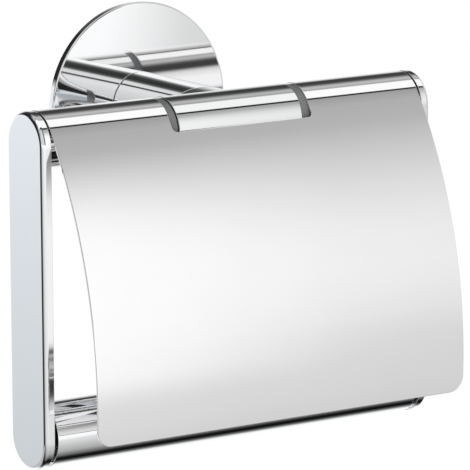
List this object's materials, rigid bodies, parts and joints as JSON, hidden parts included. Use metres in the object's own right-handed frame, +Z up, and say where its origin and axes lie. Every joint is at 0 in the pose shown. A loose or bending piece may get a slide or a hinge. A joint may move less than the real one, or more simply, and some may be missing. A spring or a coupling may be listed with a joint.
{
  "type": "toilet paper holder",
  "caption": "Wall-mounted toilet paper holder: round rosette and post, pill-shaped end plates, curved hinged lid and a sprung roll spindle, all chromed.",
  "frame": {"origin": "middle of the rosette, on the wall's surface", "axes": "+X to the right along the bars, +Y into the wall, +Z up; the holder stands out from the wall towards -Y"},
  "size_m": [0.14, 0.0818, 0.129],
  "materials": {
    "chrome": "mirror polished",
    "satin_steel": "plain",
    "dark_plastic": "matte",
    "black_plastic": "matte"
  },
  "bodies": {
    "frame": {"wall_bracket": "satin_steel", "rosette": "chrome", "post": "chrome", "post_grub_screw": "satin_steel", "hinge_sleeve": "chrome", "hinge_tube": "chrome", "left_end_plate": "chrome", "right_end_plate": "chrome"},
    "lid": {"lid": "chrome", "left_hinge_bush": "dark_plastic", "right_hinge_bush": "dark_plastic"},
    "plunger": {"spindle_plunger": "black_plastic"},
    "spindle": {"spindle_tube": "chrome", "spindle_fixed_plug": "black_plastic", "spindle_guide_bush": "black_plastic", "spindle_spring": "satin_steel", "spindle_spring_seat": "black_plastic"}
  },
  "joints": [
    {"name": "lid_hinge", "type": "hinge", "parent": "frame", "child": "lid", "pos_m": [0, -0.0488, 0], "axis": [-1, 0, 0], "range_deg": [0, 92]},
    {"name": "spindle_spin", "type": "hinge", "parent": "frame", "child": "plunger", "pos_m": [0, -0.0488, -0.0875], "axis": [1, 0, 0], "continuous": true},
    {"name": "spindle_release", "type": "slide", "parent": "plunger", "child": "spindle", "axis": [1, 0, 0], "range_m": [0, 0.0012], "stiffness_N_per_m": 1200, "springref_m": -0.004, "deforming": ["spindle_spring"]}
  ]
}
